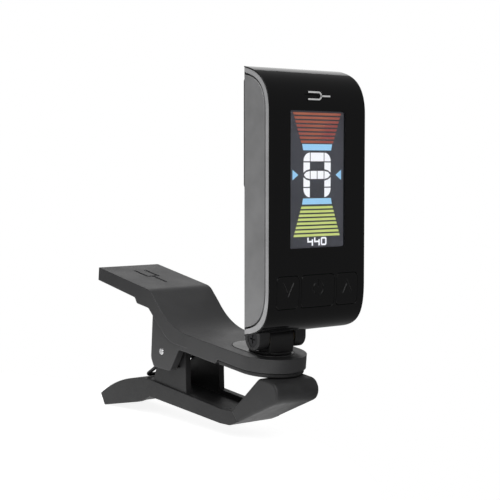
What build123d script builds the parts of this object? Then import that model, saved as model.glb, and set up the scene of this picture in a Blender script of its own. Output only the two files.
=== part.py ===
from build123d import *
from math import atan2, cos, radians, sin, tan
import os

# Clip-on tuner. Millimetres, +Z up, +X across, +Y from the jaw back to the levers.
# The origin is the point between the two closed jaw pads where the tuner grips a headstock.
# The head stands upright; the clip under it dips towards the jaw by NOSE_DOWN degrees.

# ---- driving dimensions ----
NOSE_DOWN = 6.0
GRIP_Y = -7.6              # grip point from the swivel axis, along the deck
GRIP_Z = -4.5              # grip point below the deck
PAD_GAP = 0.15             # half of the gap left between the closed pads

ARM_HALF = 8.5             # upper arm half width, also the radius of its round front
THUMB_HALF = 9.3           # half width of the ramp and the thumb pad
ARM_THICK = 3.2
CHEEK_IN = 6.65            # inner faces of the cheeks
CHANNEL_HALF = 6.25        # lower arm half width
CHANNEL_IN = 4.55          # inner faces of its side walls
UPRIGHT_IN = 4.35          # inner faces of the uprights
UPRIGHT_OUT = 5.85
WEB_THICK = 1.1            # the uprights are thinner round the pivot
PIVOT_Y = 31.8
PIVOT_Z = -6.4
PIN_R = 0.85
RUN = 0.05                 # radial running clearance

HINGE_AT_Y = -1.6          # tilt axis from the swivel axis, in the clip's frame
HINGE_AT_Z = 3.85
STEM_R = 2.0
FOOT_R = 5.0

HEAD_HALF = 13.8
HEAD_BACK = -6.0           # back face of the head, from the tilt axis
HEAD_FRONT = -14.7
HEAD_LOW = 2.0
HEAD_TOP = 60.6
SHELL = 1.3
FIT = 0.05                 # gap between parts of the head that nest
COVER_HALF = 12.9          # the cover's shell; its lips reach the full width
SCREEN_HALF = 7.9
SCREEN_LOW = 21.2
SCREEN_TOP = 51.0
BUTTON_GAP = 0.15

EAR_R = 2.65
EAR_IN = 3.85
EAR_OUT = 6.8

# ---- frames ----
lean = radians(NOSE_DOWN)


def clip_to_part(y, z):
    """Turn a point of the clip's frame (y along the deck, z above it) into the part's frame."""
    dy = y - GRIP_Y
    dz = z - GRIP_Z
    return (0, dy * cos(lean) - dz * sin(lean), dy * sin(lean) + dz * cos(lean))


deck_point = clip_to_part(0, 0)
clip_side = Plane(origin=deck_point, x_dir=(0, cos(lean), sin(lean)), z_dir=(1, 0, 0))
clip_top = Plane(origin=deck_point, x_dir=(1, 0, 0), z_dir=(0, -sin(lean), cos(lean)))
hinge_point = clip_to_part(HINGE_AT_Y, HINGE_AT_Z)
hinge_side = Plane(origin=hinge_point, x_dir=(0, cos(lean), sin(lean)), z_dir=(1, 0, 0))
head_side = Plane(origin=hinge_point, x_dir=(0, 1, 0), z_dir=(1, 0, 0))
head_front = Plane(origin=hinge_point, x_dir=(1, 0, 0), z_dir=(0, -1, 0))


# ---- shared outlines ----
def head_outline(inset, past=0.0):
    """The head's D-shaped side profile, shrunk by inset and drawn past the back face."""
    front = HEAD_FRONT + inset
    top_z = HEAD_TOP - inset
    low_z = HEAD_LOW + inset
    with BuildLine() as edge:
        top = Bezier((HEAD_BACK, top_z), (-11.2, top_z - 1.0), (front, top_z - 3.6), (front, 50.5))
        Line(top @ 1, (front, 13.0))
        low = Bezier((front, 13.0), (front, low_z + 3.2), (inset - 12.6, low_z + 0.8), (HEAD_BACK, low_z))
        if past:
            Polyline(low @ 1, (HEAD_BACK + past, low_z), (HEAD_BACK + past, top_z), top @ 0)
        else:
            Line(low @ 1, top @ 0)
    make_face(edge.edges())


def outline(points, radii):
    """A closed outline of straight runs with rounded corners, drawn in the current sketch."""
    with BuildLine() as edge:
        FilletPolyline(*points, radius=radii, close=True)
    make_face(edge.edges())


os.makedirs("parts", exist_ok=True)

# =========================== CLIP ===========================

# ---- lower arm: channel, uprights, front tongue and finger lever ----
ARM_UNDER = [(5.0, -14.8), (9.5, -15.4), (40.0, -15.7), (39.1, -20.0), (9.2, -18.9), (5.4, -18.4), (2.6, -16.9)]
LEVER_TIP_TOP = (62.6, -25.0)
LEVER_TIP_LOW = (60.4, -27.7)
LEVER_WALL = 1.3
TONGUE = [(5.2, -15.2), (-4.2, -7.6), (-6.6, -7.8), (-6.4, -8.8), (3.0, -16.6)]
TONGUE_ROUNDS = [0, 0.8, 0.5, 0.8, 0]
TONGUE_HALF = 4.0

with BuildPart() as lower_arm:
    with BuildSketch(clip_side):
        outline(ARM_UNDER, [0, 2.0, 0, 0, 0, 1.6, 0])
    extrude(amount=CHANNEL_HALF, both=True)
    with BuildSketch(clip_side):
        with BuildLine():
            Polyline((36.0, -19.0), (36.0, -15.66), (39.5, -15.7))
            ThreePointArc((39.5, -15.7), (51.6, -18.6), LEVER_TIP_TOP)
            Line(LEVER_TIP_TOP, LEVER_TIP_LOW)
            Polyline(LEVER_TIP_LOW, (44.4, -22.8), (41.3, -21.4), (39.1, -19.9), (36.0, -19.0))
        make_face()
    extrude(amount=CHANNEL_HALF, both=True)
    # hollow underside of the lever
    with BuildSketch(clip_side):
        outline([(42.4, -24.0), (42.4, -18.8), (51.0, -20.9), (58.4, -25.4), (58.4, -29.0)], [0, 1.0, 2.0, 1.0, 0])
    extrude(amount=CHANNEL_HALF - LEVER_WALL, both=True, mode=Mode.SUBTRACT)
    # the channel is open towards the upper arm
    with BuildSketch(clip_side):
        outline([(7.6, -16.5), (37.0, -16.7), (37.0, -12.0), (7.6, -12.0)], [0.8, 0.8, 0, 0])
    extrude(amount=CHANNEL_IN, both=True, mode=Mode.SUBTRACT)
    # uprights: a full-depth front post and foot, and a thinner web round the pivot
    for side in (UPRIGHT_IN, -UPRIGHT_OUT):
        with BuildSketch(clip_side.offset(side)):
            outline([(23.8, -17.0), (25.5, -4.4), (27.2, -4.4), (27.0, -9.7), (37.0, -10.6), (38.8, -17.0)],
                    [0, 0.5, 0.4, 0.3, 0.8, 0])
        extrude(amount=UPRIGHT_OUT - UPRIGHT_IN)
    for side in (UPRIGHT_IN, -UPRIGHT_IN - WEB_THICK):
        with BuildSketch(clip_side.offset(side)):
            outline([(26.2, -12.0), (26.2, -4.9), (29.2, -3.9), (33.8, -3.9), (36.0, -6.8), (37.2, -12.0)],
                    [0, 0, 1.5, 1.5, 1.5, 0])
        extrude(amount=WEB_THICK)
    # tongue that the rubber pad is moulded on
    with BuildSketch(clip_side):
        outline(TONGUE, TONGUE_ROUNDS)
    extrude(amount=TONGUE_HALF, both=True)
    # small ledge on the channel floor, where the spring is slipped in
    with BuildSketch(clip_side):
        outline([(8.6, -17.0), (8.6, -15.9), (10.4, -15.9), (11.2, -17.0)], [0, 0.3, 0.3, 0])
    extrude(amount=2.6, both=True)
    with BuildSketch(clip_side):
        with Locations((PIVOT_Y, PIVOT_Z)):
            Circle(PIN_R)
    extrude(amount=CHANNEL_HALF + 1, both=True, mode=Mode.SUBTRACT)
lower_arm.part.label = "lower_arm"
export_step(lower_arm.part, "parts/lower_arm.step")

# ---- lower pad: rubber wedge with a round nose ----
NOSE_Y = -8.2
NOSE_R = 2.75
NOSE_Z = GRIP_Z - PAD_GAP - NOSE_R
CREST_Y = -5.3             # the nose runs back to a second, smaller round
CREST_R = 2.5
CREST_Z = GRIP_Z - PAD_GAP - CREST_R

with BuildPart() as lower_pad:
    with BuildSketch(clip_side):
        with Locations((NOSE_Y, NOSE_Z)):
            Circle(NOSE_R)
        with Locations((CREST_Y, CREST_Z)):
            Circle(CREST_R)
        outline([(5.0, -14.8), (2.6, -16.9), (2.2, -16.0), (4.6, -14.2)], 0)
        make_hull()
    extrude(amount=CHANNEL_HALF, both=True)
    fillet(lower_pad.edges().filter_by(GeomType.CIRCLE), 0.5)
    with BuildSketch(clip_side):
        outline(TONGUE, TONGUE_ROUNDS)
    extrude(amount=TONGUE_HALF, both=True, mode=Mode.SUBTRACT)
    with BuildSketch(clip_side):
        outline(ARM_UNDER, [0, 2.0, 0, 0, 0, 1.6, 0])
    extrude(amount=CHANNEL_HALF + 1, both=True, mode=Mode.SUBTRACT)
lower_pad.part.label = "lower_pad"
export_step(lower_pad.part, "parts/lower_pad.step")

# ---- pivot pin ----
with BuildPart() as pivot_pin:
    with BuildSketch(clip_side):
        with Locations((PIVOT_Y, PIVOT_Z)):
            Circle(PIN_R)
    extrude(amount=ARM_HALF + 0.15, both=True)
    chamfer(pivot_pin.edges().filter_by(GeomType.CIRCLE), 0.15)
pivot_pin.part.label = "pivot_pin"
export_step(pivot_pin.part, "parts/pivot_pin.step")

# ---- torsion spring: two coils on the pin, joined by a bridge that rests on the lever ----
WIRE_R = 0.45
COIL_R = 1.75
COIL_TURNS = 3.5
COIL_PITCH = 0.95
COIL_START = 0.5           # inner end of each coil from the middle
COIL_END = COIL_START + COIL_TURNS * COIL_PITCH
BRIDGE_Y = 44.6
BRIDGE_Z = -15.85
LEG_TIP_Y = 40.4
LEG_TIP_Z = 2.75


def on_side(across, y, z):
    """A point of the part's frame, from a place across the clip and a point of its side view."""
    return clip_side.offset(across).from_local_coords((y, z, 0))


def wire_along(points, bend):
    """Spring wire along bent straight runs."""
    with BuildPart() as run:
        with BuildLine() as path:
            FilletPolyline(*points, radius=bend)
        with BuildSketch(Plane(origin=path.line @ 0, z_dir=path.line % 0)):
            Circle(WIRE_R)
        sweep(path=path.line)
    return run.part


with BuildPart() as coil:
    with BuildLine() as turns:
        Helix(COIL_PITCH, COIL_TURNS * COIL_PITCH, COIL_R,
              center=on_side(COIL_START, PIVOT_Y, PIVOT_Z), direction=(1, 0, 0))
    with BuildSketch(Plane(origin=turns.line @ 0, z_dir=turns.line % 0)):
        Circle(WIRE_R)
    sweep(path=turns.line, is_frenet=True)
arm_leg = wire_along([turns.line @ 0, on_side(COIL_START, PIVOT_Y + 2.6, PIVOT_Z + COIL_R),
                      on_side(COIL_START, LEG_TIP_Y, LEG_TIP_Z)], 1.2)
lever_leg = wire_along([turns.line @ 1, on_side(COIL_END, PIVOT_Y + 2.4, PIVOT_Z - COIL_R),
                        on_side(COIL_END, BRIDGE_Y, BRIDGE_Z), on_side(-0.01, BRIDGE_Y, BRIDGE_Z)], 1.2)
knuckles = Pos(*(turns.line @ 0)) * Sphere(WIRE_R) + Pos(*(turns.line @ 1)) * Sphere(WIRE_R)
half_spring = coil.part + arm_leg + lever_leg + knuckles

with BuildPart() as torsion_spring:
    add(half_spring)
    mirror(about=Plane.YZ)
torsion_spring.part.label = "torsion_spring"
export_step(torsion_spring.part, "parts/torsion_spring.step")

# ---- upper arm: deck, ramp, thumb pad and cheeks ----
THUMB_END = 62.3
RAMP_FOOT = (27.1, 0.0)
RAMP_HEAD = (37.3, 8.05)
THUMB_CORNER = (THUMB_END, 9.7)
FLARE_Y = 21.0             # the arm widens from here
FLARE_END_Y = 33.0
SKIRT_Z = -4.3             # lower edge of the side skirts
CHEEK_THICK = ARM_HALF - CHEEK_IN
PLATE_X = 5.6              # half width of the oblong swivel plate
PLATE_BACK = 5.5           # centre of its rear round end
PLATE_DEEP = 0.8
CUP_R = 3.7                # recess under the deck for the swivel screw
CUP_Z = -1.9
MARK_Y = 50.0
MARK_WIDE = 0.9

with BuildPart() as upper_arm:
    with BuildSketch(clip_side):
        outline([(-9.5, 0), RAMP_FOOT, RAMP_HEAD, THUMB_CORNER, (THUMB_END + 0.3, 6.4), (43.8, 5.0),
                 (42.7, 3.7), (37.4, 3.5), (28.1, -ARM_THICK), (-9.5, -ARM_THICK)],
                [0, 20.0, 4.5, 0.8, 0.8, 1.0, 0.6, 1.0, 8.0, 0])
    extrude(amount=THUMB_HALF, both=True)
    for side in (CHEEK_IN, -ARM_HALF):
        with BuildSketch(clip_side.offset(side)):
            outline([(37.4, 4.0), (36.5, 1.8), (36.2, -8.9), (34.8, -10.9), (27.7, -10.4), (24.4, SKIRT_Z),
                     (9.7, SKIRT_Z), (9.0, SKIRT_Z + 0.7), (9.0, -1.5), (28.2, -1.5), (36.0, 4.0)],
                    [0, 1.5, 2.0, 1.0, 1.2, 0.5, 0.3, 0, 0, 0, 0])
        extrude(amount=CHEEK_THICK)
    # plan outline: round front about the swivel axis, a slight flare, softened rear corners
    with BuildSketch(clip_top.offset(-14)):
        with BuildLine():
            CenterArc((0, 0), ARM_HALF, 180, 180)
            FilletPolyline((ARM_HALF, 0), (ARM_HALF, FLARE_Y), (THUMB_HALF, FLARE_END_Y),
                           (THUMB_HALF, THUMB_END + 0.35), (-THUMB_HALF, THUMB_END + 0.35),
                           (-THUMB_HALF, FLARE_END_Y), (-ARM_HALF, FLARE_Y), (-ARM_HALF, 0),
                           radius=[30.0, 30.0, 1.4, 1.4, 30.0, 30.0])
        make_face()
    extrude(amount=30, mode=Mode.INTERSECT)
    # seat of the swivel plate, stem hole and the cup for its screw
    with BuildSketch(clip_top.offset(-PLATE_DEEP)):
        with BuildLine():
            CenterArc((0, 0), PLATE_X, 180, 180)
            Line((PLATE_X, 0), (PLATE_X, PLATE_BACK))
            CenterArc((0, PLATE_BACK), PLATE_X, 0, 180)
            Line((-PLATE_X, PLATE_BACK), (-PLATE_X, 0))
        make_face()
    extrude(amount=2, mode=Mode.SUBTRACT)
    with BuildSketch(clip_top.offset(-5)):
        Circle(STEM_R + RUN)
    extrude(amount=6, mode=Mode.SUBTRACT)
    with BuildSketch(clip_top.offset(-5)):
        Circle(CUP_R)
    extrude(amount=5 + CUP_Z, mode=Mode.SUBTRACT)
    with BuildSketch(clip_side):
        with Locations((PIVOT_Y, PIVOT_Z)):
            Circle(PIN_R + RUN)
    extrude(amount=ARM_HALF + 1, both=True, mode=Mode.SUBTRACT)
    # plain tuning-fork mark pressed into the thumb pad
    slope = atan2(THUMB_CORNER[1] - RAMP_HEAD[1], THUMB_CORNER[0] - RAMP_HEAD[0])
    mark_plane = Plane(origin=on_side(0, MARK_Y, RAMP_HEAD[1] + (MARK_Y - RAMP_HEAD[0]) * tan(slope)),
                       x_dir=(1, 0, 0), z_dir=(0, -sin(lean + slope), cos(lean + slope)))
    with BuildSketch(mark_plane.offset(-0.25)):
        for x in (-1.6, 1.6):
            with Locations((x, 3.0)):
                SlotOverall(7.0, MARK_WIDE, rotation=90)
        SlotOverall(3.2 + MARK_WIDE, MARK_WIDE)
        with Locations((0, -3.0)):
            SlotOverall(7.0, MARK_WIDE, rotation=90)
    extrude(amount=1, mode=Mode.SUBTRACT)
upper_arm.part.label = "upper_arm"
export_step(upper_arm.part, "parts/upper_arm.step")

# ---- upper pad: thin rubber under the front disc ----
UPPER_PAD_R = 8.1
PAD_END_Y = 8.6

with BuildPart() as upper_pad:
    with BuildSketch(clip_top.offset(GRIP_Z + PAD_GAP)):
        with BuildLine():
            CenterArc((0, 0), UPPER_PAD_R, 180, 180)
            Polyline((UPPER_PAD_R, 0), (UPPER_PAD_R, PAD_END_Y), (-UPPER_PAD_R, PAD_END_Y), (-UPPER_PAD_R, 0))
        make_face()
    extrude(amount=-ARM_THICK - GRIP_Z - PAD_GAP)
    fillet(upper_pad.faces().sort_by(Axis.Z)[0].edges(), 0.35)
upper_pad.part.label = "upper_pad"
export_step(upper_pad.part, "parts/upper_pad.step")

# ---- swivel plate: oblong inlay flush in the deck ----
with BuildPart() as swivel_plate:
    with BuildSketch(clip_top.offset(-PLATE_DEEP)):
        with BuildLine():
            CenterArc((0, 0), PLATE_X - 0.1, 180, 180)
            Line((PLATE_X - 0.1, 0), (PLATE_X - 0.1, PLATE_BACK))
            CenterArc((0, PLATE_BACK), PLATE_X - 0.1, 0, 180)
            Line((0.1 - PLATE_X, PLATE_BACK), (0.1 - PLATE_X, 0))
        make_face()
        Circle(STEM_R + RUN, mode=Mode.SUBTRACT)
    extrude(amount=PLATE_DEEP + 0.12)
    chamfer(swivel_plate.faces().sort_by(Axis.Z)[-1].outer_wire().edges(), 0.1)
swivel_plate.part.label = "swivel_plate"
export_step(swivel_plate.part, "parts/swivel_plate.step")

# =========================== NECK ===========================

NECK_HALF = 3.45
BARREL_R = 2.4
NECK_BACK = 1.8            # back of the block, cut away for the folded head's bracket
NECK_NOTCH = -2.4
FOOT_Z = 0.3
FOOT_THICK = 0.5
SEAM = 0.2                 # how far joined shapes run into each other
PIN_TILT_R = 0.9
SCREW_SHANK_R = 0.8
SCREW_LONG = 2.9

with BuildPart() as neck_block:
    with BuildSketch(clip_top.offset(FOOT_Z)):
        Circle(FOOT_R)
    extrude(amount=FOOT_THICK)
    fillet(neck_block.faces().sort_by(Axis.Z)[-1].edges(), 0.2)
    with BuildSketch(hinge_side):
        Circle(BARREL_R)
        with BuildLine():
            Polyline((-BARREL_R, 0), (BARREL_R, 0), (NECK_BACK, NECK_NOTCH), (NECK_BACK, FOOT_Z + SEAM - HINGE_AT_Z),
                     (-BARREL_R, FOOT_Z + SEAM - HINGE_AT_Z), close=True)
        make_face()
    extrude(amount=NECK_HALF, both=True)
    with BuildSketch(clip_top.offset(CUP_Z)):
        Circle(STEM_R)
    extrude(amount=FOOT_Z - CUP_Z + SEAM)
    with BuildSketch(clip_top.offset(CUP_Z)):
        Circle(SCREW_SHANK_R)
    extrude(amount=SCREW_LONG, mode=Mode.SUBTRACT)
    with BuildSketch(hinge_side):
        Circle(PIN_TILT_R + RUN)
    extrude(amount=NECK_HALF + 1, both=True, mode=Mode.SUBTRACT)
neck_block.part.label = "neck_block"
export_step(neck_block.part, "parts/neck_block.step")

# ---- swivel screw and washer, in the cup under the deck ----
WASHER_THICK = 0.3
SCREW_HEAD_R = 2.7
SCREW_HEAD_THICK = 0.7
SCREW_SEAT = CUP_Z - 0.1 - WASHER_THICK

with BuildPart() as swivel_washer:
    with BuildSketch(clip_top.offset(SCREW_SEAT)):
        Circle(CUP_R - 0.3)
        Circle(SCREW_SHANK_R + 0.1, mode=Mode.SUBTRACT)
    extrude(amount=WASHER_THICK)
swivel_washer.part.label = "swivel_washer"
export_step(swivel_washer.part, "parts/swivel_washer.step")

with BuildPart() as swivel_screw:
    with BuildSketch(clip_top.offset(SCREW_SEAT)):
        Circle(SCREW_HEAD_R)
    extrude(amount=-SCREW_HEAD_THICK)
    chamfer(swivel_screw.faces().sort_by(Axis.Z)[0].edges(), 0.2)
    with BuildSketch(clip_top.offset(SCREW_SEAT)):
        Circle(SCREW_SHANK_R)
    extrude(amount=SCREW_LONG)
    with BuildSketch(clip_top.offset(SCREW_SEAT - SCREW_HEAD_THICK)):
        Rectangle(3.0, 0.6)
        Rectangle(0.6, 3.0)
    extrude(amount=0.35, mode=Mode.SUBTRACT)
swivel_screw.part.label = "swivel_screw"
export_step(swivel_screw.part, "parts/swivel_screw.step")

# ---- tilt hinge: pin, end caps and friction washers ----
CAP_R = 1.85
CAP_DEEP = 0.7

with BuildPart() as hinge_pin:
    with BuildSketch(hinge_side):
        Circle(PIN_TILT_R)
    extrude(amount=EAR_OUT - CAP_DEEP, both=True)
hinge_pin.part.label = "hinge_pin"
export_step(hinge_pin.part, "parts/hinge_pin.step")

with BuildPart() as hinge_caps:
    for side, turn in ((EAR_OUT - CAP_DEEP, 1), (CAP_DEEP - EAR_OUT, -1)):
        with BuildSketch(hinge_side.offset(side)):
            Circle(CAP_R)
        extrude(amount=turn * (CAP_DEEP - 0.1))
        with BuildSketch(hinge_side.offset(side + turn * (CAP_DEEP - 0.1))):
            Rectangle(2.0, 0.4)
            Rectangle(0.4, 2.0)
        extrude(amount=-turn * 0.3, mode=Mode.SUBTRACT)
hinge_caps.part.label = "hinge_caps"
export_step(hinge_caps.part, "parts/hinge_caps.step")

with BuildPart() as friction_washers:
    for side, turn in ((NECK_HALF, 1), (-NECK_HALF, -1)):
        with BuildSketch(hinge_side.offset(side)):
            Circle(BARREL_R - 0.2)
            Circle(PIN_TILT_R + RUN, mode=Mode.SUBTRACT)
        extrude(amount=turn * 0.3)
friction_washers.part.label = "friction_washers"
export_step(friction_washers.part, "parts/friction_washers.step")

# =========================== HEAD ===========================

WALL_IN = 11.8             # inner faces of the housing's side walls
REAR_WALL = 1.2
SCREEN_MID = (SCREEN_LOW + SCREEN_TOP) / 2
POST_X = 10.1
POST_HEIGHTS = (18.2, 32.0)
POST_R = 1.5
BAY_LOW = 34.6             # battery bay
BAY_TOP = 57.6
BAY_HALF = 11.0
BUTTON_LOW = 8.2
BUTTON_TOP = 15.2
BUTTON_MID = (BUTTON_LOW + BUTTON_TOP) / 2
POWER_HALF = 4.7
OUTER_BUTTON_IN = 5.5
OUTER_BUTTON_OUT = 11.6
OUTER_BUTTON_X = (OUTER_BUTTON_IN + OUTER_BUTTON_OUT) / 2
OUTER_BUTTON_WIDE = OUTER_BUTTON_OUT - OUTER_BUTTON_IN
PAST = 3.0                 # how far a cutting tool runs past a face
LIP = 0.2


def button_outline(middle, wide, grow):
    """Rounded outline of one button in the face's sketch, grown or shrunk all round."""
    with Locations((middle, BUTTON_MID)):
        RectangleRounded(wide + 2 * grow, BUTTON_TOP - BUTTON_LOW + 2 * grow, 1.0)


# ---- front cover: gloss shell that wraps the top, the face and the bottom ----
with BuildPart() as front_cover:
    with BuildSketch(head_side):
        head_outline(0)
    extrude(amount=COVER_HALF, both=True)
    with BuildSketch(head_side):
        head_outline(SHELL, PAST)
    extrude(amount=COVER_HALF + 1, both=True, mode=Mode.SUBTRACT)
    # thin lips that reach the full width round the rim bands
    for side in (-HEAD_HALF, COVER_HALF):
        with BuildSketch(head_side.offset(side)):
            head_outline(0)
        extrude(amount=HEAD_HALF - COVER_HALF)
        with BuildSketch(head_side.offset(side)):
            head_outline(LIP, PAST)
        extrude(amount=HEAD_HALF - COVER_HALF, mode=Mode.SUBTRACT)
    for x in (-POST_X, POST_X):
        for z in POST_HEIGHTS:
            with BuildSketch(head_front.offset(-HEAD_BACK + REAR_WALL)):
                with Locations((x, z)):
                    Circle(POST_R)
            extrude(amount=-HEAD_FRONT + HEAD_BACK - REAR_WALL - SHELL / 2)
            with BuildSketch(head_front.offset(-HEAD_BACK + REAR_WALL)):
                with Locations((x, z)):
                    Circle(0.6)
            extrude(amount=4.5, mode=Mode.SUBTRACT)
    with BuildSketch(head_front.offset(-HEAD_FRONT - SHELL - 0.5)):
        with Locations((0, SCREEN_MID)):
            RectangleRounded(2 * SCREEN_HALF, SCREEN_TOP - SCREEN_LOW, 0.25)
    extrude(amount=PAST, mode=Mode.SUBTRACT)
    with BuildSketch(head_front.offset(-HEAD_FRONT - SHELL - 2.5)):
        button_outline(0, 2 * POWER_HALF, BUTTON_GAP)
        button_outline(-OUTER_BUTTON_X, OUTER_BUTTON_WIDE, BUTTON_GAP)
        button_outline(OUTER_BUTTON_X, OUTER_BUTTON_WIDE, BUTTON_GAP)
    extrude(amount=PAST + SHELL + 2.5, mode=Mode.SUBTRACT)
front_cover.part.label = "front_cover"
export_step(front_cover.part, "parts/front_cover.step")

# ---- buttons: each a piece of the same curved face, with a stem towards its switch ----
BOARD_FRONT = 11.4         # depths from the tilt axis, towards the face
BOARD_THICK = 0.8
DOME_HIGH = 0.5
PRESS = 0.4


def face_button(middle, wide, glyph):
    """One push button cut from the face's shell, with its sign engraved."""
    with BuildPart() as button:
        with BuildSketch(head_side.offset(middle - wide)):
            head_outline(0)
        extrude(amount=2 * wide)
        with BuildSketch(head_side.offset(middle - wide - 1)):
            head_outline(SHELL, PAST)
        extrude(amount=2 * wide + 2, mode=Mode.SUBTRACT)
        with BuildSketch(head_front.offset(-HEAD_FRONT - SHELL - 2.5)):
            button_outline(middle, wide, 0)
        extrude(amount=5, mode=Mode.INTERSECT)
        with BuildSketch(head_front.offset(BOARD_FRONT + DOME_HIGH + PRESS + 0.1)):
            with Locations((middle, BUTTON_MID + 0.8)):
                Circle(1.3)
        extrude(amount=-HEAD_FRONT - SHELL / 2 - BOARD_FRONT - DOME_HIGH - PRESS - 0.1)
        with BuildSketch(head_front.offset(-HEAD_FRONT - 0.15)):
            with Locations((middle, BUTTON_MID + 0.6)):
                add(glyph)
        extrude(amount=1, mode=Mode.SUBTRACT)
    return button.part


def chevron(turn):
    """An engraved V, or its reverse."""
    with BuildSketch() as sign:
        with BuildLine():
            Polyline((-1.7, 1.6), (0, -1.6), (1.7, 1.6), (1.15, 1.6), (0, -0.6), (-1.15, 1.6), close=True)
        make_face()
    return sign.sketch.rotate(Axis.Z, turn)


def power_sign():
    """An engraved power sign: an open ring with a bar through the gap."""
    with BuildSketch() as sign:
        Circle(1.6)
        Circle(1.25, mode=Mode.SUBTRACT)
        with Locations((0, 1.5)):
            Rectangle(1.3, 1.4, mode=Mode.SUBTRACT)
        with Locations((0, 1.2)):
            Rectangle(0.35, 1.7)
    return sign.sketch


with BuildPart() as button_down:
    add(face_button(-OUTER_BUTTON_X, OUTER_BUTTON_WIDE, chevron(0)))
button_down.part.label = "button_down"
export_step(button_down.part, "parts/button_down.step")

with BuildPart() as button_power:
    add(face_button(0, 2 * POWER_HALF, power_sign()))
button_power.part.label = "button_power"
export_step(button_power.part, "parts/button_power.step")

with BuildPart() as button_up:
    add(face_button(OUTER_BUTTON_X, OUTER_BUTTON_WIDE, chevron(180)))
button_up.part.label = "button_up"
export_step(button_up.part, "parts/button_up.step")

# ---- rear housing: back wall, side walls and the hinge bracket ----
BRACKET_TOP = 9.5
EAR_REACH = 3.1            # nearest that the bracket's web comes to the tilt axis

with BuildPart() as rear_housing:
    with BuildSketch(head_side):
        head_outline(SHELL + FIT)
    extrude(amount=COVER_HALF, both=True)
    with BuildSketch(head_front.offset(-HEAD_BACK + REAR_WALL)):
        with Locations((0, (HEAD_LOW + HEAD_TOP) / 2)):
            Rectangle(2 * WALL_IN, HEAD_TOP)
    extrude(amount=HEAD_BACK - HEAD_FRONT, mode=Mode.SUBTRACT)
    with BuildSketch(head_front.offset(-HEAD_BACK - 1)):
        with Locations((0, (BAY_LOW + BAY_TOP) / 2)):
            RectangleRounded(2 * BAY_HALF, BAY_TOP - BAY_LOW, 1.5)
    extrude(amount=REAR_WALL + 2, mode=Mode.SUBTRACT)
    # bracket behind the head: two ears and the web that joins them
    with BuildSketch(head_side):
        outline([(HEAD_BACK - 0.2, HEAD_LOW + SHELL), (HEAD_BACK - 0.2, BRACKET_TOP + 2.5),
                 (HEAD_BACK + 1.2, BRACKET_TOP + 1.5), (EAR_R, BRACKET_TOP - 2.0),
                 (EAR_R, 0), (-EAR_R, 0), (-EAR_R, HEAD_LOW + SHELL)],
                [0, 0, 1.5, 1.5, 0, 0, 1.0])
        Circle(EAR_R)
    extrude(amount=EAR_OUT, both=True)
    with BuildSketch(head_side):
        Circle(EAR_REACH)
        with Locations((-0.6, -EAR_REACH)):
            Rectangle(2 * EAR_REACH + 4.0, 2 * EAR_REACH)
        with Locations((-EAR_REACH, HEAD_LOW)):
            Rectangle(2 * EAR_REACH, 2 * HEAD_LOW - 2.0)
    extrude(amount=EAR_IN, both=True, mode=Mode.SUBTRACT)
    with BuildSketch(head_side):
        Circle(PIN_TILT_R)
    extrude(amount=EAR_OUT + 1, both=True, mode=Mode.SUBTRACT)
    for side in (EAR_OUT - CAP_DEEP, -EAR_OUT - 1):
        with BuildSketch(head_side.offset(side)):
            Circle(CAP_R)
        extrude(amount=CAP_DEEP + 1, mode=Mode.SUBTRACT)
    for x in (-POST_X, POST_X):
        for z in POST_HEIGHTS:
            with BuildSketch(head_front.offset(-HEAD_BACK - 1)):
                with Locations((x, z)):
                    Circle(0.7)
            extrude(amount=REAR_WALL + 1.5, mode=Mode.SUBTRACT)
            with BuildSketch(head_front.offset(-HEAD_BACK - 1)):
                with Locations((x, z)):
                    Circle(1.35)
            extrude(amount=1.8, mode=Mode.SUBTRACT)
rear_housing.part.label = "rear_housing"
export_step(rear_housing.part, "parts/rear_housing.step")

# ---- housing screws ----
with BuildPart() as housing_screws:
    for x in (-POST_X, POST_X):
        for z in POST_HEIGHTS:
            with BuildSketch(head_front.offset(-HEAD_BACK + 0.1)):
                with Locations((x, z)):
                    Circle(1.25)
            extrude(amount=0.7)
            with BuildSketch(head_front.offset(-HEAD_BACK + 0.8)):
                with Locations((x, z)):
                    Circle(0.6)
            extrude(amount=4.0)
            with BuildSketch(head_front.offset(-HEAD_BACK + 0.1)):
                with Locations((x, z)):
                    Rectangle(1.5, 0.35)
                    Rectangle(0.35, 1.5)
            extrude(amount=0.35, mode=Mode.SUBTRACT)
housing_screws.part.label = "housing_screws"
export_step(housing_screws.part, "parts/housing_screws.step")

# ---- rim bands and side panels, one pair on each side ----
RIM_INNER = 1.4            # inner edge of the band, from the outline of the D
GROOVE = 0.4
TRIM_THICK = HEAD_HALF - COVER_HALF - 0.1


def rim_band(side):
    """The light band that follows the D of the head's side, open at the back."""
    with BuildPart() as rim:
        with BuildSketch(head_side.offset(side)):
            head_outline(LIP + FIT)
        extrude(amount=TRIM_THICK)
        with BuildSketch(head_side.offset(side - 1)):
            head_outline(RIM_INNER, PAST)
        extrude(amount=TRIM_THICK + 2, mode=Mode.SUBTRACT)
    return rim.part


def side_panel(side):
    """The satin panel inside the band, a groove away from it."""
    with BuildPart() as panel:
        with BuildSketch(head_side.offset(side)):
            head_outline(RIM_INNER + GROOVE)
        extrude(amount=TRIM_THICK)
    return panel.part


with BuildPart() as rim_left:
    add(rim_band(-COVER_HALF - TRIM_THICK))
rim_left.part.label = "rim_left"
export_step(rim_left.part, "parts/rim_left.step")

with BuildPart() as rim_right:
    add(rim_band(COVER_HALF))
rim_right.part.label = "rim_right"
export_step(rim_right.part, "parts/rim_right.step")

with BuildPart() as side_panel_left:
    add(side_panel(-COVER_HALF - TRIM_THICK))
side_panel_left.part.label = "side_panel_left"
export_step(side_panel_left.part, "parts/side_panel_left.step")

with BuildPart() as side_panel_right:
    add(side_panel(COVER_HALF))
side_panel_right.part.label = "side_panel_right"
export_step(side_panel_right.part, "parts/side_panel_right.step")

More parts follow.
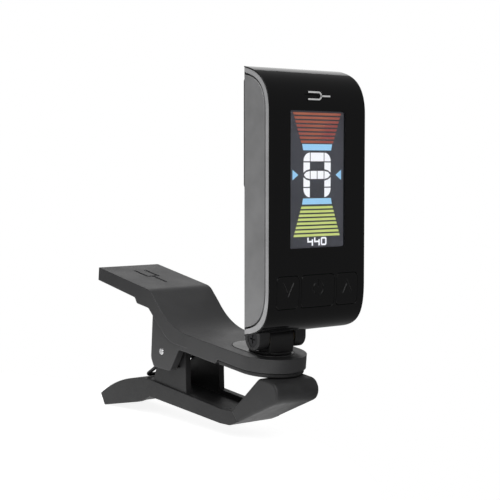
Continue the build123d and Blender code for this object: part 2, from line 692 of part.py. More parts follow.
# ---- display: lens, screen and backlight ----
LENS_BACK = -HEAD_FRONT - 0.4
LENS_THICK = 0.35
LCD_HALF = 8.4
LCD_LOW = SCREEN_LOW - 0.7
LCD_TOP = SCREEN_TOP + 0.7
LCD_FRONT = -HEAD_FRONT - SHELL - 0.15
GLASS_FRONT = LENS_BACK - 0.15   # the screen's raised glass stands in the window


def face_slab(half, low, top, depth, thick):
    """A flat block behind the face: half width, height range, depth of its back, thickness."""
    with BuildPart() as slab:
        with BuildSketch(head_front.offset(depth)):
            with Locations((0, (low + top) / 2)):
                RectangleRounded(2 * half, top - low, 0.25)
        extrude(amount=thick)
    return slab.part


with BuildPart() as display_window:
    add(face_slab(SCREEN_HALF - 0.05, SCREEN_LOW + 0.05, SCREEN_TOP - 0.05, LENS_BACK, LENS_THICK))
display_window.part.label = "display_window"
export_step(display_window.part, "parts/display_window.step")

with BuildPart() as lcd_panel:
    add(face_slab(LCD_HALF, LCD_LOW, LCD_TOP, BOARD_FRONT + 1.0, LCD_FRONT - BOARD_FRONT - 1.0))
    add(face_slab(SCREEN_HALF - 0.1, SCREEN_LOW + 0.1, SCREEN_TOP - 0.1, LCD_FRONT, GLASS_FRONT - LCD_FRONT))
lcd_panel.part.label = "lcd_panel"
export_step(lcd_panel.part, "parts/lcd_panel.step")

with BuildPart() as backlight:
    add(face_slab(LCD_HALF, LCD_LOW, LCD_TOP, BOARD_FRONT, 1.0))
backlight.part.label = "backlight"
export_step(backlight.part, "parts/backlight.step")

# ---- circuit board, chip and dome switches ----
with BuildPart() as circuit_board:
    with BuildSketch(head_front.offset(BOARD_FRONT - BOARD_THICK)):
        with Locations((0, 31.6)):
            Rectangle(2 * WALL_IN - 0.8, 47.6)
        for z in POST_HEIGHTS:
            with Locations((-POST_X, z), (POST_X, z)):
                Circle(POST_R + 0.2, mode=Mode.SUBTRACT)
            with Locations((-POST_X - 1.5, z), (POST_X + 1.5, z)):
                Rectangle(3.0, 2 * POST_R + 0.4, mode=Mode.SUBTRACT)
    extrude(amount=BOARD_THICK)
circuit_board.part.label = "circuit_board"
export_step(circuit_board.part, "parts/circuit_board.step")

with BuildPart() as tuner_chip:
    add(face_slab(2.8, 23.0, 28.6, BOARD_FRONT - BOARD_THICK - 1.0, 1.0))
tuner_chip.part.label = "tuner_chip"
export_step(tuner_chip.part, "parts/tuner_chip.step")

with BuildPart() as dome_switches:
    with BuildSketch(head_front.offset(BOARD_FRONT)):
        for x in (-OUTER_BUTTON_X, 0, OUTER_BUTTON_X):
            with Locations((x, BUTTON_MID + 0.8)):
                Circle(1.9)
    extrude(amount=DOME_HIGH, taper=30)
dome_switches.part.label = "dome_switches"
export_step(dome_switches.part, "parts/dome_switches.step")

# ---- power: coin cell and its two contacts ----
CELL_R = 10.0
CELL_MID = 46.2
CELL_BACK = 6.95
CELL_THICK = 3.2

with BuildPart() as coin_cell:
    with BuildSketch(head_front.offset(CELL_BACK)):
        with Locations((0, CELL_MID)):
            Circle(CELL_R)
    extrude(amount=CELL_THICK)
    chamfer(coin_cell.edges().filter_by(GeomType.CIRCLE), 0.3)
coin_cell.part.label = "coin_cell"
export_step(coin_cell.part, "parts/coin_cell.step")

with BuildPart() as contact_minus:
    add(face_slab(2.5, 38.0, 54.0, CELL_BACK + CELL_THICK, BOARD_FRONT - BOARD_THICK - CELL_BACK - CELL_THICK))
contact_minus.part.label = "contact_minus"
export_step(contact_minus.part, "parts/contact_minus.step")

with BuildPart() as contact_plus:
    add(face_slab(2.0, 35.2, 35.9, CELL_BACK + 0.8, BOARD_FRONT - BOARD_THICK - CELL_BACK - 0.8))
contact_plus.part.label = "contact_plus"
export_step(contact_plus.part, "parts/contact_plus.step")

# ---- piezo disc on the inside of the back wall, beside the bracket ----
with BuildPart() as piezo_sensor:
    with BuildSketch(head_front.offset(-HEAD_BACK + REAR_WALL)):
        with Locations((0, 16.0)):
            Circle(6.0)
    extrude(amount=0.25)
    with BuildSketch(head_front.offset(-HEAD_BACK + REAR_WALL + 0.25)):
        with Locations((0, 16.0)):
            Circle(4.2)
    extrude(amount=0.2)
piezo_sensor.part.label = "piezo_sensor"
export_step(piezo_sensor.part, "parts/piezo_sensor.step")

# ---- battery cover: raised door over the upper back ----
DOOR_PROUD = 0.75
DOOR_HALF = 13.5
DOOR_LOW = 33.9
DOOR_TOP = 58.4

with BuildPart() as battery_cover:
    with BuildSketch(head_front.offset(-HEAD_BACK - DOOR_PROUD)):
        with Locations((0, (DOOR_LOW + DOOR_TOP) / 2)):
            RectangleRounded(2 * DOOR_HALF, DOOR_TOP - DOOR_LOW, 1.2)
    extrude(amount=DOOR_PROUD - 0.05)
    chamfer(battery_cover.faces().sort_by(Axis.Y)[-1].edges(), 0.25)
    with BuildSketch(head_front.offset(-HEAD_BACK - 0.1)):
        with Locations((0, (BAY_LOW + BAY_TOP) / 2)):
            RectangleRounded(2 * BAY_HALF - 0.6, BAY_TOP - BAY_LOW - 0.6, 1.2)
    extrude(amount=0.9)
    # grip ribs for the thumb
    for rib in range(4):
        with BuildSketch(head_front.offset(-HEAD_BACK - DOOR_PROUD)):
            with Locations((0, DOOR_TOP - 3.0 - 1.3 * rib)):
                SlotOverall(10.0, 0.6)
        extrude(amount=0.3, mode=Mode.SUBTRACT)
battery_cover.part.label = "battery_cover"
export_step(battery_cover.part, "parts/battery_cover.step")
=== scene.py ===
import math

import bpy
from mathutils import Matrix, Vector


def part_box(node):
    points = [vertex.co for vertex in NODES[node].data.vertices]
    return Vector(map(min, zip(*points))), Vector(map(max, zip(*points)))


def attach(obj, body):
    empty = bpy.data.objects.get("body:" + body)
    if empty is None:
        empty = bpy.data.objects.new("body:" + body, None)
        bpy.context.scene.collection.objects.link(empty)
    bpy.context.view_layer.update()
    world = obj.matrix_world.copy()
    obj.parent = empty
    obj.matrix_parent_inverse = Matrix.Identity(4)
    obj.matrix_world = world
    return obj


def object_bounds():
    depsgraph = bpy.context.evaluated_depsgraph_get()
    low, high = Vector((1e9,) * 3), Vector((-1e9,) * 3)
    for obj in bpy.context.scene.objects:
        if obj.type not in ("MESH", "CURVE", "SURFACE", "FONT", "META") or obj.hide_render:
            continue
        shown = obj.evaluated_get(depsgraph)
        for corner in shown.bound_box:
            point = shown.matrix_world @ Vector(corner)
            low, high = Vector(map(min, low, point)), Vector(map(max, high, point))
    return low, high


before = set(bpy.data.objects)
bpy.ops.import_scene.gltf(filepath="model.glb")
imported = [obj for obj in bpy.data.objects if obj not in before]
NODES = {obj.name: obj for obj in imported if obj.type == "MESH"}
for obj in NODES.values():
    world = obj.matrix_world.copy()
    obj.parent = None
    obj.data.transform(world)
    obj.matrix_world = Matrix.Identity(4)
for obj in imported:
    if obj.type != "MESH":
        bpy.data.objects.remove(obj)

# Clip-on tuner: looks, screen content, light and camera. Metres, in the frame of the CAD model.

MM = 0.001
CAD_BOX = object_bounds()


# =========================== materials ===========================

class Nodes:
    """A small helper that adds nodes to one material and links them."""

    def __init__(self, name):
        self.material = bpy.data.materials.new(name)
        self.material.use_nodes = True
        self.tree = self.material.node_tree
        self.tree.nodes.clear()
        self.output = self.tree.nodes.new("ShaderNodeOutputMaterial")
        self.shader = self.tree.nodes.new("ShaderNodeBsdfPrincipled")
        self.link(self.shader.outputs["BSDF"], self.output.inputs["Surface"])
        self.place = self.tree.nodes.new("ShaderNodeTexCoord").outputs["Object"]

    def link(self, source, target):
        self.tree.links.new(source, target)

    def noise(self, size, detail=3.0, rough=0.55, stretch=None):
        """Noise whose grains are about size metres across, stretched along an axis if asked."""
        node = self.tree.nodes.new("ShaderNodeTexNoise")
        node.inputs["Scale"].default_value = 1.0 / size
        node.inputs["Detail"].default_value = detail
        node.inputs["Roughness"].default_value = rough
        place = self.place
        if stretch:
            mapping = self.tree.nodes.new("ShaderNodeMapping")
            mapping.inputs["Scale"].default_value = stretch
            self.link(place, mapping.inputs["Vector"])
            place = mapping.outputs["Vector"]
        self.link(place, node.inputs["Vector"])
        return node.outputs["Fac"]

    def cells(self, size):
        """Cell distances about size metres across, for a pebbled mould texture."""
        node = self.tree.nodes.new("ShaderNodeTexVoronoi")
        node.inputs["Scale"].default_value = 1.0 / size
        self.link(self.place, node.inputs["Vector"])
        return node.outputs["Distance"]

    def span(self, value, low, high, to_low, to_high):
        """Map a value from low..high onto to_low..to_high."""
        node = self.tree.nodes.new("ShaderNodeMapRange")
        node.inputs["From Min"].default_value = low
        node.inputs["From Max"].default_value = high
        node.inputs["To Min"].default_value = to_low
        node.inputs["To Max"].default_value = to_high
        self.link(value, node.inputs["Value"])
        return node.outputs["Result"]

    def math(self, operation, first, second):
        node = self.tree.nodes.new("ShaderNodeMath")
        node.operation = operation
        for socket, value in zip(node.inputs, (first, second)):
            if isinstance(value, (int, float)):
                socket.default_value = value
            else:
                self.link(value, socket)
        return node.outputs["Value"]

    def blend(self, factor, first, second):
        """Mix two colours by a factor."""
        node = self.tree.nodes.new("ShaderNodeMix")
        node.data_type = "RGBA"
        sockets = [s for s in node.inputs if s.type == "RGBA"]
        for socket, value in zip(sockets, (first, second)):
            if isinstance(value, tuple):
                socket.default_value = (*value, 1.0)
            else:
                self.link(value, socket)
        self.link(factor, node.inputs["Factor"])
        return [s for s in node.outputs if s.type == "RGBA"][0]

    def rounded(self, radius):
        """Normals that round the edges over a radius, and a mask that is 1 on those edges."""
        bevel = self.tree.nodes.new("ShaderNodeBevel")
        bevel.samples = 6
        bevel.inputs["Radius"].default_value = radius
        flat = self.tree.nodes.new("ShaderNodeNewGeometry")
        facing = self.tree.nodes.new("ShaderNodeVectorMath")
        facing.operation = "DOT_PRODUCT"
        self.link(bevel.outputs["Normal"], facing.inputs[0])
        self.link(flat.outputs["Normal"], facing.inputs[1])
        return bevel.outputs["Normal"], self.span(facing.outputs["Value"], 0.995, 0.8, 0.0, 1.0)

    def bump(self, height, depth, strength=1.0, normal=None):
        node = self.tree.nodes.new("ShaderNodeBump")
        node.inputs["Distance"].default_value = depth
        node.inputs["Strength"].default_value = strength
        self.link(height, node.inputs["Height"])
        if normal is not None:
            self.link(normal, node.inputs["Normal"])
        return node.outputs["Normal"]


def shade(color, factor):
    return tuple(min(1.0, c * factor) for c in color)


def moulded(name, color, rough, grain=0.16 * MM, depth=0.012 * MM, edge=0.25 * MM, worn=1.9, level=0.5):
    """Moulded plastic: pebbled grain, cloudy gloss, slightly polished and paler edges."""
    n = Nodes(name)
    normal, edges = n.rounded(edge)
    clouds = n.noise(7 * MM, 4.0)
    specks = n.noise(0.5 * MM, 2.0)
    wear = n.math("MULTIPLY", edges, n.span(n.noise(1.4 * MM, 5.0), 0.42, 0.62, 0.15, 1.0))
    body = n.blend(n.span(clouds, 0.3, 0.7, 0.0, 1.0), shade(color, 0.88), shade(color, 1.12))
    n.link(n.blend(wear, body, shade(color, worn)), n.shader.inputs["Base Color"])
    base = n.span(clouds, 0.25, 0.75, rough - 0.05, rough + 0.05)
    fine = n.math("ADD", base, n.span(specks, 0.3, 0.7, -0.03, 0.03))
    n.link(n.math("SUBTRACT", fine, n.math("MULTIPLY", wear, 0.12)), n.shader.inputs["Roughness"])
    grains = n.math("ADD", n.cells(grain), n.noise(grain * 0.6, 2.0))
    n.link(n.bump(grains, depth, 0.7, normal), n.shader.inputs["Normal"])
    n.shader.inputs["Specular IOR Level"].default_value = level
    return n.material


def gloss(name, color, rough=0.07, level=0.4):
    """Piano-gloss plastic: deep and smooth, with faint orange peel, haze and hairline scuffs, and a painted
    highlight along its edges.
    """
    n = Nodes(name)
    normal, edges = n.rounded(0.22 * MM)
    haze = n.noise(9 * MM, 5.0)
    scuffs = n.noise(0.35 * MM, 3.0, stretch=(1.0, 1.0, 0.06))
    # paler colour on every edge: a painted highlight
    body = n.blend(edges, color, shade(color, 1.3))
    n.link(body, n.shader.inputs["Base Color"])
    marks = n.span(scuffs, 0.62, 0.8, 0.0, 0.08)
    base = n.span(haze, 0.3, 0.7, rough - 0.02, rough + 0.03)
    n.link(n.math("ADD", base, marks), n.shader.inputs["Roughness"])
    n.link(n.bump(n.noise(2.2 * MM, 1.0), 0.004 * MM, 0.5, normal), n.shader.inputs["Normal"])
    n.shader.inputs["Specular IOR Level"].default_value = level
    return n.material


def rubber(name, color):
    """Soft rubber: matte, fine-grained, dusty in the hollows and rubbed on its edges."""
    n = Nodes(name)
    normal, edges = n.rounded(0.3 * MM)
    dust = n.noise(2.5 * MM, 6.0)
    body = n.blend(n.span(dust, 0.4, 0.75, 0.0, 1.0), color, shade(color, 1.7))
    n.link(n.blend(edges, body, shade(color, 2.0)), n.shader.inputs["Base Color"])
    n.link(n.span(dust, 0.3, 0.7, 0.52, 0.68), n.shader.inputs["Roughness"])
    n.link(n.bump(n.noise(0.12 * MM, 3.0), 0.015 * MM, 0.8, normal), n.shader.inputs["Normal"])
    n.shader.inputs["Sheen Weight"].default_value = 0.04
    n.shader.inputs["Sheen Roughness"].default_value = 0.5
    return n.material


def metal(name, color, rough=0.22, drawn=(1.0, 1.0, 1.0)):
    """Turned or drawn metal: fine tool lines, smudged gloss and bright edges."""
    n = Nodes(name)
    normal, edges = n.rounded(0.12 * MM)
    lines = n.noise(0.15 * MM, 3.0, stretch=drawn)
    smudge = n.noise(1.6 * MM, 4.0)
    tone = n.blend(n.span(smudge, 0.3, 0.7, 0.0, 1.0), shade(color, 0.82), color)
    n.link(n.blend(edges, tone, shade(color, 1.15)), n.shader.inputs["Base Color"])
    base = n.span(smudge, 0.3, 0.7, rough - 0.06, rough + 0.08)
    drawn_lines = n.span(lines, 0.3, 0.7, 0.0, 0.08)
    n.link(n.math("ADD", base, drawn_lines), n.shader.inputs["Roughness"])
    n.link(n.bump(lines, 0.003 * MM, 0.6, normal), n.shader.inputs["Normal"])
    n.shader.inputs["Metallic"].default_value = 1.0
    return n.material


def clear(name):
    """Hard-coated clear window with faint wipe marks."""
    n = Nodes(name)
    wipe = n.noise(3.0 * MM, 4.0, stretch=(0.4, 1.0, 1.0))
    n.link(n.span(wipe, 0.35, 0.75, 0.02, 0.06), n.shader.inputs["Roughness"])
    n.shader.inputs["Base Color"].default_value = (0.96, 0.97, 1.0, 1.0)
    n.shader.inputs["Transmission Weight"].default_value = 1.0
    n.shader.inputs["IOR"].default_value = 1.12
    return n.material


def screen_ground(name, color, grid=0.09 * MM):
    """The unlit screen: dark grey with a faint pixel grid and uneven backlight."""
    n = Nodes(name)
    glow = n.noise(14 * MM, 2.0)
    pixels = n.cells(grid)
    body = n.blend(n.span(glow, 0.3, 0.7, 0.0, 1.0), shade(color, 0.9), shade(color, 1.15))
    ground = n.blend(n.span(pixels, 0.0, 0.6, 0.0, 0.3), body, shade(color, 0.6))
    n.link(ground, n.shader.inputs["Base Color"])
    backlit = n.blend(n.span(glow, 0.3, 0.7, 0.0, 1.0), shade(color, 0.85), shade(color, 1.2))
    n.link(backlit, n.shader.inputs["Emission Color"])
    n.link(n.span(pixels, 0.0, 0.6, 0.36, 0.44), n.shader.inputs["Roughness"])
    n.shader.inputs["Emission Strength"].default_value = 0.62
    return n.material


def lit(name, color, strength, second=None, spread=9 * MM):
    """A lit mark on the screen: glow with slight unevenness, towards a second colour in patches."""
    n = Nodes(name)
    pixels = n.cells(0.09 * MM)
    patches = n.noise(spread, 1.0)
    tone = n.blend(n.span(patches, 0.35, 0.65, 0.0, 1.0), color, second or shade(color, 0.93))
    shown = n.blend(n.span(pixels, 0.0, 0.7, 0.0, 0.16), tone, shade(color, 0.8))
    n.link(shown, n.shader.inputs["Emission Color"])
    n.link(n.span(pixels, 0.0, 0.6, 0.4, 0.5), n.shader.inputs["Roughness"])
    n.shader.inputs["Base Color"].default_value = (0.02, 0.02, 0.02, 1.0)
    n.shader.inputs["Emission Strength"].default_value = strength
    return n.material


def board(name):
    """Solder mask with copper showing through as paler patches."""
    n = Nodes(name)
    tracks = n.cells(1.6 * MM)
    mask = n.blend(n.span(tracks, 0.05, 0.12, 1.0, 0.0), (0.01, 0.09, 0.035), (0.05, 0.22, 0.09))
    n.link(mask, n.shader.inputs["Base Color"])
    n.link(n.span(n.noise(1.0 * MM), 0.3, 0.7, 0.25, 0.4), n.shader.inputs["Roughness"])
    n.link(n.bump(tracks, 0.01 * MM, 0.5), n.shader.inputs["Normal"])
    return n.material


ARM_BLACK = moulded("arm_moulded_black", (0.030, 0.030, 0.031), 0.46)
# the lower arm's black is darker than the upper arm's: painted shade for the lever and its wedge
LEVER_BLACK_PAINTED_SHADE = moulded("lower_arm_black_painted_shade", (0.013, 0.013, 0.0135), 0.52, level=0.35)
NECK_BLACK = moulded("neck_moulded_black", (0.016, 0.016, 0.017), 0.42, grain=0.1 * MM)
HOUSING_BLACK = moulded("housing_matte_black", (0.024, 0.024, 0.025), 0.52)
PANEL_GREY = moulded("side_panel_satin_grey", (0.21, 0.21, 0.212), 0.38, grain=0.1 * MM,
                     depth=0.006 * MM, worn=1.3)
RIM_GREY = moulded("rim_satin_light_grey", (0.37, 0.37, 0.375), 0.30, grain=0.1 * MM,
                   depth=0.004 * MM, worn=1.2)
INLAY_GREY = moulded("inlay_semi_gloss", (0.05, 0.05, 0.051), 0.30, grain=0.2 * MM, depth=0.005 * MM)
FACE_BLACK = gloss("cover_piano_black", (0.0035, 0.0035, 0.0037), level=0.3)
KEY_BLACK = gloss("button_gloss_black", (0.004, 0.004, 0.0042), rough=0.10, level=0.3)
PAD_RUBBER = rubber("pad_rubber_black", (0.010, 0.010, 0.0105))
STEEL = metal("bright_steel", (0.72, 0.72, 0.73), 0.2)
DARK_STEEL = metal("blackened_steel", (0.05, 0.05, 0.052), 0.35)
BRASS = metal("brass", (0.70, 0.50, 0.22), 0.28)
WINDOW = clear("window_clear")
SCREEN = screen_ground("screen_dark_grey", (0.052, 0.053, 0.060))
BOARD = board("board_green")
CHIP = moulded("chip_epoxy", (0.015, 0.015, 0.016), 0.55, worn=1.2)
DIFFUSER = moulded("diffuser_white", (0.7, 0.7, 0.7), 0.5, worn=1.05)

FINISHES = {
    ARM_BLACK: ("upper_arm",),
    LEVER_BLACK_PAINTED_SHADE: ("lower_arm",),
    NECK_BLACK: ("neck_block",),
    HOUSING_BLACK: ("rear_housing", "battery_cover"),
    PANEL_GREY: ("side_panel_left", "side_panel_right"),
    RIM_GREY: ("rim_left", "rim_right"),
    INLAY_GREY: ("swivel_plate",),
    FACE_BLACK: ("front_cover",),
    KEY_BLACK: ("button_down", "button_power", "button_up"),
    PAD_RUBBER: ("lower_pad", "upper_pad"),
    STEEL: ("pivot_pin", "hinge_pin", "swivel_washer", "coin_cell", "dome_switches"),
    DARK_STEEL: ("torsion_spring", "hinge_caps", "housing_screws", "swivel_screw"),
    BRASS: ("friction_washers", "contact_minus", "contact_plus", "piezo_sensor"),
    WINDOW: ("display_window",),
    SCREEN: ("lcd_panel",),
    BOARD: ("circuit_board",),
    CHIP: ("tuner_chip",),
    DIFFUSER: ("backlight",),
}
for finish, names in FINISHES.items():
    for name in names:
        for material_slot in NODES[name].material_slots:
            material_slot.material = finish


# =========================== thin pieces ===========================

def plates(name, outlines, front, thick, material, body):
    """Thin plates facing -Y from outlines of (x, z) points, all in one piece."""
    points = []
    faces = []
    for outline in outlines:
        first = len(points)
        count = len(outline)
        for y in (front, front + thick):
            points += [(x, y, z) for x, z in outline]
        faces.append(tuple(range(first, first + count)))
        faces.append(tuple(range(first + 2 * count - 1, first + count - 1, -1)))
        for i in range(count):
            j = (i + 1) % count
            faces.append((first + j, first + i, first + count + i, first + count + j))
    mesh = bpy.data.meshes.new(name)
    mesh.from_pydata(points, [], faces)
    mesh.validate()
    mesh.update()
    piece = bpy.data.objects.new(name, mesh)
    bpy.context.scene.collection.objects.link(piece)
    mesh.materials.append(material)
    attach(piece, body)
    return piece


def arc(center, radius, start, end, steps=8):
    """Points along an arc, angles in degrees."""
    turns = [math.radians(start + (end - start) * i / steps) for i in range(steps + 1)]
    return [(center[0] + radius * math.cos(t), center[1] + radius * math.sin(t)) for t in turns]


# ---- screen content, placed from the window's box ----
window_low, window_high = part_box("display_window")
lcd_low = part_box("lcd_panel")[0]
SCREEN_Z = window_low.z
SCREEN_MID_X = (window_low.x + window_high.x) / 2
MARK_GAP = 0.09 * MM       # from a mark's front to the front of the screen
MARK_Y = lcd_low.y - MARK_GAP
MARK_THICK = 0.05 * MM


def on_screen(x, z):
    """Millimetres across from the middle and up from the screen's lower edge, in metres."""
    return (SCREEN_MID_X + x * MM, SCREEN_Z + z * MM)


def bar_stack(count, top, pitch, high, half_first, half_last):
    """Horizontal bars, stacked downwards, whose half widths change evenly."""
    bars = []
    for i in range(count):
        share = i / (count - 1)
        half = half_first + (half_last - half_first) * share
        step = (half_last - half_first) / (count - 1) * high / pitch / 2
        z = top - i * pitch
        bars.append([on_screen(x, level) for x, level in (
            (-half + step, z + high / 2), (-half - step, z - high / 2), (half + step, z - high / 2),
            (half - step, z + high / 2))])
    return bars


def trapezoid(top, low, half_top, half_low):
    corners = ((-half_top, top), (-half_low, low), (half_low, low), (half_top, top))
    return [on_screen(x, z) for x, z in corners]


def mirrored(points):
    return [(-x, z) for x, z in reversed(points)]


def note_letter(mid, half_wide, half_high, stroke, gap):
    """A segmented letter A with round shoulders and an almond-shaped crossbar."""
    out = half_wide
    inn = half_wide - stroke
    g = gap / 2
    shoulder = half_high - 2.0
    knee = -half_high + 2.15
    almond = 1.0
    corner = 1.85
    crown = [(-inn + g, half_high), (-inn + g, shoulder + g), (inn - g, shoulder + g), (inn - g, half_high)]
    corner_top = [(-inn - g, half_high)] + arc((-out + corner, half_high - corner), corner, 100, 180, 8)
    corner_top += [(-out, shoulder + g), (-inn - g, shoulder + g)]
    tip = (-out + 0.1, 0.0)
    upper = [(-out, shoulder - g), (-out, 0.55)]
    upper += [(-out + 0.75, almond + 0.02), (-inn - g, almond + g + 0.12), (-inn - g, shoulder - g)]
    lower = [(-out, -0.55), (-out, knee + g), (-inn - g, knee + g), (-inn - g, -almond - g - 0.12),
             (-out + 0.75, -almond - 0.02)]
    foot = [(-out, knee - g)] + arc((-out + corner, -half_high + corner), corner, 180, 258, 8)
    foot += [(-inn - g, -half_high), (-inn - g, knee - g)]
    cheek = [tip, (-out + 0.75, -0.62), (-inn - g, -almond + g), (-inn - g, almond - g), (-out + 0.75, 0.62)]
    middle = [(-inn + g, almond - g), (-inn + g, -almond + g), (-g, -almond + g), (-g, almond - g)]
    left = [corner_top, upper, lower, foot, cheek, middle]
    shapes = left + [mirrored(s) for s in left] + [crown]
    return [[on_screen(x, mid + z) for x, z in s] for s in shapes]


def digit_four(x, z, wide, high, stroke):
    half = high / 2
    left = [(x, z + half), (x, z - stroke / 2), (x + stroke, z - stroke / 2), (x + stroke, z + half)]
    cross = [(x + stroke, z + stroke / 2), (x + stroke, z - stroke / 2), (x + wide, z - stroke / 2),
             (x + wide, z + stroke / 2)]
    right = [(x + wide - stroke, z - stroke / 2), (x + wide - stroke, z - half), (x + wide, z - half),
             (x + wide, z - stroke / 2)]
    rise = [(x + wide - stroke, z + half * 0.55), (x + wide - stroke, z + stroke / 2),
            (x + wide, z + stroke / 2), (x + wide, z + half * 0.55)]
    return [left, cross, right, rise]


def digit_zero(x, z, wide, high, stroke):
    half = high / 2
    cut = stroke * 0.7
    sides = [[(x, z + half - cut), (x, z - half + cut), (x + cut, z - half), (x + stroke, z - half),
              (x + stroke, z + half), (x + cut, z + half)]]
    far = x + wide
    sides.append([(far, z - half + cut), (far, z + half - cut), (far - cut, z + half),
                  (far - stroke, z + half), (far - stroke, z - half), (far - cut, z - half)])
    for level in (z + half - stroke, z - half):
        sides.append([(x + stroke, level + stroke), (x + stroke, level), (far - stroke, level),
                      (far - stroke, level + stroke)])
    return sides


RED = lit("screen_red", (0.46, 0.10, 0.085), 0.62, second=(0.62, 0.20, 0.10))
GREEN = lit("screen_green", (0.56, 0.66, 0.16), 0.95, second=(0.66, 0.74, 0.26))
BLUE = lit("screen_blue", (0.36, 0.68, 0.95), 0.95)
WHITE = lit("screen_white", (1.0, 1.0, 1.0), 1.0, second=(0.97, 0.98, 1.0))
PRINT_WHITE = moulded("print_white", (0.62, 0.62, 0.62), 0.4, worn=1.0)


def screen_marks(name, outlines, material):
    return plates(name, outlines, MARK_Y, MARK_THICK, material, "head")


# millimetres up from the screen's lower edge, and half widths
BAR_COUNT = 8
BAR_PITCH = 0.865
BAR_HIGH = 0.52
RED_TOP = 29.1
RED_HALVES = (6.8, 4.65)
GREEN_TOP = 8.75
GREEN_HALVES = (4.55, 6.6)
LETTER_MID = 15.85
POINTER_OUT = 7.0
POINTER_IN = 5.4
POINTER_HALF = 1.1
TRAPEZOID_WIDE = 4.3
TRAPEZOID_NARROW = 4.0
DIGIT_WIDE = 1.62
DIGIT_HIGH = 1.8
DIGIT_STROKE = 0.36
DIGIT_Z = 1.3

screen_marks("screen_red_bars", bar_stack(BAR_COUNT, RED_TOP, BAR_PITCH, BAR_HIGH, *RED_HALVES), RED)
screen_marks("screen_green_bars", bar_stack(BAR_COUNT, GREEN_TOP, BAR_PITCH, BAR_HIGH, *GREEN_HALVES), GREEN)
POINTER = [(-POINTER_OUT, LETTER_MID + POINTER_HALF), (-POINTER_OUT, LETTER_MID - POINTER_HALF),
           (-POINTER_IN, LETTER_MID)]
blue_marks = [trapezoid(22.55, 21.2, TRAPEZOID_WIDE, TRAPEZOID_NARROW),
              trapezoid(10.75, 9.45, TRAPEZOID_NARROW, TRAPEZOID_WIDE)]
blue_marks += [[on_screen(x, z) for x, z in POINTER], [on_screen(x, z) for x, z in mirrored(POINTER)]]
screen_marks("screen_blue_marks", blue_marks, BLUE)
screen_marks("screen_note_letter", note_letter(LETTER_MID, 3.9, 4.85, 1.9, 0.26), WHITE)
digits = digit_four(-2.75, DIGIT_Z, DIGIT_WIDE, DIGIT_HIGH, DIGIT_STROKE)
digits += digit_four(-0.8, DIGIT_Z, DIGIT_WIDE, DIGIT_HIGH, DIGIT_STROKE)
digits += digit_zero(1.15, DIGIT_Z, DIGIT_WIDE, DIGIT_HIGH, DIGIT_STROKE)
screen_marks("screen_digits", [[on_screen(x, z) for x, z in d] for d in digits], WHITE)

# ---- a plain tuning-fork sign printed above the screen, in place of any name ----
PRINT_THICK = 0.002 * MM
PRINT_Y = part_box("front_cover")[0].y - PRINT_THICK
SIGN_Z = window_high.z + 3.3 * MM


def fork_sign(wide, high, stroke):
    """Outlines of a small upright tuning fork: bend, stem and two tines."""
    outer = wide / 2
    inner = outer - stroke
    bend = arc((0, 0), outer, 180, 360, 16) + list(reversed(arc((0, 0), inner, 180, 360, 16)))
    tines = [[(side * (outer + inner) / 2 + d, z) for d, z in (
        (-stroke / 2, high), (-stroke / 2, 0), (stroke / 2, 0), (stroke / 2, high))] for side in (-1, 1)]
    stem_top = -outer + stroke * 0.5
    stem_end = -outer - high * 0.8
    stem = [(-stroke / 2, stem_top), (-stroke / 2, stem_end), (stroke / 2, stem_end), (stroke / 2, stem_top)]
    return [bend, stem] + tines


def on_its_side(shape):
    return [(SCREEN_MID_X - z * MM, SIGN_Z + x * MM) for x, z in reversed(shape)]


sign = [on_its_side(shape) for shape in fork_sign(1.9, 3.0, 0.36)]
plates("printed_fork_sign", sign, PRINT_Y, PRINT_THICK, PRINT_WHITE, "head")

# ---- dark stops that close the open ends of the grooves beside the side panels ----
STOP_DEEP = 0.5 * MM
STOP_HIGH = 0.45 * MM      # just over the groove's width
STOP_LAP = 0.05 * MM
stops = []
for side in ("side_panel_left", "side_panel_right"):
    low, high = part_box(side)
    for start, end in ((low.z - STOP_HIGH, low.z + STOP_LAP), (high.z - STOP_LAP, high.z + STOP_HIGH)):
        stops.append([(low.x, start), (high.x, start), (high.x, end), (low.x, end)])
panel_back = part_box("side_panel_left")[1].y
plates("groove_stops", stops, panel_back - STOP_DEEP, STOP_DEEP, HOUSING_BLACK, "head")


# =========================== stage, light and camera ===========================

FLOOR_Z = CAD_BOX[0].z


def stage_floor():
    """A small pale sheet under the object, kept short on the side that the gloss face mirrors."""
    rings = 6
    sectors = 48
    middle = (-0.045, 0.05)
    reach = (0.06, 0.11)
    points = [(middle[0], middle[1], FLOOR_Z)]
    faces = []
    for ring in range(1, rings + 1):
        for sector in range(sectors):
            turn = 2 * math.pi * sector / sectors
            points.append((middle[0] + reach[0] * math.cos(turn) * ring / rings,
                           middle[1] + reach[1] * math.sin(turn) * ring / rings, FLOOR_Z))
    for sector in range(sectors):
        faces.append((0, 1 + sector, 1 + (sector + 1) % sectors))
    for ring in range(rings - 1):
        inner = 1 + ring * sectors
        outer = inner + sectors
        for sector in range(sectors):
            beside = (sector + 1) % sectors
            faces.append((inner + sector, outer + sector, outer + beside, inner + beside))
    mesh = bpy.data.meshes.new("studio_floor")
    mesh.from_pydata(points, [], faces)
    mesh.update()
    floor = bpy.data.objects.new("studio_floor", mesh)
    bpy.context.scene.collection.objects.link(floor)
    paper = Nodes("studio_paper")
    paper.link(paper.span(paper.noise(2 * MM), 0.3, 0.7, 0.8, 0.9), paper.shader.inputs["Roughness"])
    paper.shader.inputs["Base Color"].default_value = (0.5, 0.5, 0.5, 1.0)
    paper.shader.inputs["Emission Color"].default_value = (1.0, 1.0, 1.0, 1.0)
    paper.shader.inputs["Emission Strength"].default_value = 0.88
    paper.shader.inputs["Specular IOR Level"].default_value = 0.1
    mesh.materials.append(paper.material)


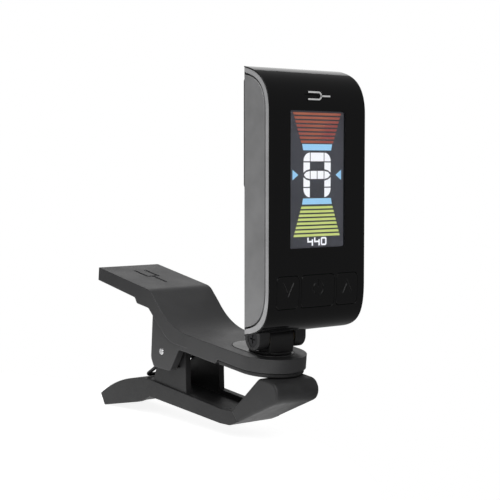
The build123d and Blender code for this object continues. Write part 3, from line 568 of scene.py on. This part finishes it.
def soft_box(name, place, aim, size, power):
    """A soft area light at a place, facing an aim point."""
    light = bpy.data.lights.new(name, "AREA")
    light.shape = "RECTANGLE"
    light.size = size[0]
    light.size_y = size[1]
    light.energy = power
    lamp = bpy.data.objects.new(name, light)
    lamp.location = place
    lamp.rotation_euler = (Vector(aim) - Vector(place)).to_track_quat("-Z", "Y").to_euler()
    bpy.context.scene.collection.objects.link(lamp)


def studio_world():
    """White to look at, but dim as a light: the soft boxes light, and the gloss face mirrors little."""
    world = bpy.data.worlds.new("studio")
    world.use_nodes = True
    tree = world.node_tree
    dim = tree.nodes["Background"]
    dim.inputs["Strength"].default_value = 0.2
    white = tree.nodes.new("ShaderNodeBackground")
    white.inputs["Strength"].default_value = 1.0
    for background in (dim, white):
        background.inputs["Color"].default_value = (1.0, 1.0, 1.0, 1.0)
    seen = tree.nodes.new("ShaderNodeLightPath").outputs["Is Camera Ray"]
    either = tree.nodes.new("ShaderNodeMixShader")
    tree.links.new(seen, either.inputs[0])
    tree.links.new(dim.outputs["Background"], either.inputs[1])
    tree.links.new(white.outputs["Background"], either.inputs[2])
    tree.links.new(either.outputs["Shader"], tree.nodes["World Output"].inputs["Surface"])
    bpy.context.scene.world = world


VIEW_TURN = math.radians(38.0)
VIEW_DROP = math.radians(3.84)
VIEW_DISTANCE = 0.28878
hinge_low, hinge_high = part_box("hinge_pin")
AIM_FROM_HINGE = Vector((-3.05, 5.67, 19.72)) * MM
VIEW_AIM = (hinge_low + hinge_high) / 2 + AIM_FROM_HINGE
LENS = 90.16

stage_floor()
studio_world()
soft_box("key_left_high", (-0.30, -0.30, 0.38), (0, 0.02, 0.02), (0.35, 0.35), 2.0)
soft_box("top_wide", (-0.12, -0.15, 0.52), (0, 0.03, 0.0), (0.5, 0.4), 1.6)
soft_box("back_right", (0.35, 0.45, 0.25), (0, 0.02, 0.02), (0.3, 0.3), 0.22)

back = Vector((-math.sin(VIEW_TURN) * math.cos(VIEW_DROP), -math.cos(VIEW_TURN) * math.cos(VIEW_DROP),
               math.sin(VIEW_DROP)))
camera = bpy.data.objects.new("camera", bpy.data.cameras.new("camera"))
camera.data.lens = LENS
camera.data.sensor_width = 36.0
camera.data.clip_start = 0.01
camera.location = VIEW_AIM + back * VIEW_DISTANCE
camera.rotation_euler = back.to_track_quat("Z", "Y").to_euler()
bpy.context.scene.collection.objects.link(camera)
bpy.context.scene.camera = camera
bpy.context.scene.view_settings.view_transform = "Standard"
